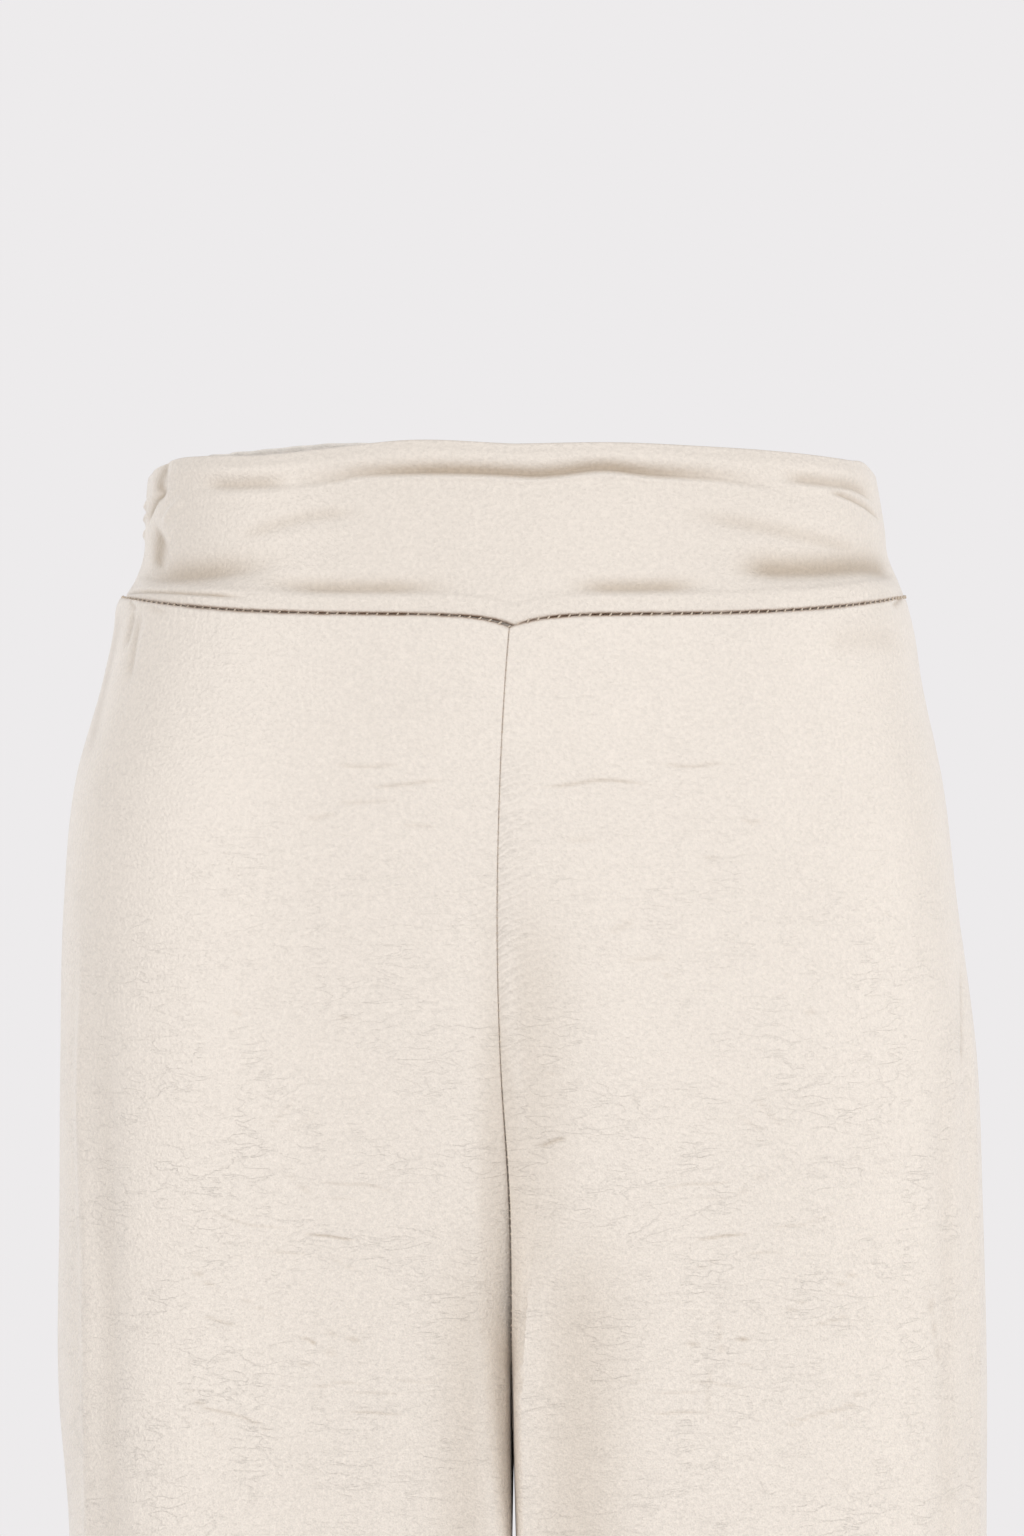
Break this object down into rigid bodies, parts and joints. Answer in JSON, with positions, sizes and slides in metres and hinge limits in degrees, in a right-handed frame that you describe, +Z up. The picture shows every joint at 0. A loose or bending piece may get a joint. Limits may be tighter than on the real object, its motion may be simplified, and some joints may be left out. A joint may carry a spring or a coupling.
{
  "type": "trousers",
  "caption": "High-waisted wide-leg satin trousers with a deep plain front waistband, a gathered elastic back and open hems, hollow and filled out as worn.",
  "frame": {"origin": "middle of the waist opening, level with the waistband's top edge, where the wearer's waist holds the trousers", "axes": "+Z up out of the waist opening, -Y the way the front faces, +X to the wearer's left"},
  "size_m": [0.3584, 0.2469, 1.0518],
  "materials": {
    "satin": "champagne satin with a fine crinkle",
    "band_satin": "the same satin on a stiffer band"
  },
  "bodies": {
    "root": {"front_waistband": "band_satin", "back_waistband": "band_satin", "left_front_leg": "satin", "right_front_leg": "satin", "left_back_leg": "satin", "right_back_leg": "satin"}
  },
  "joints": []
}
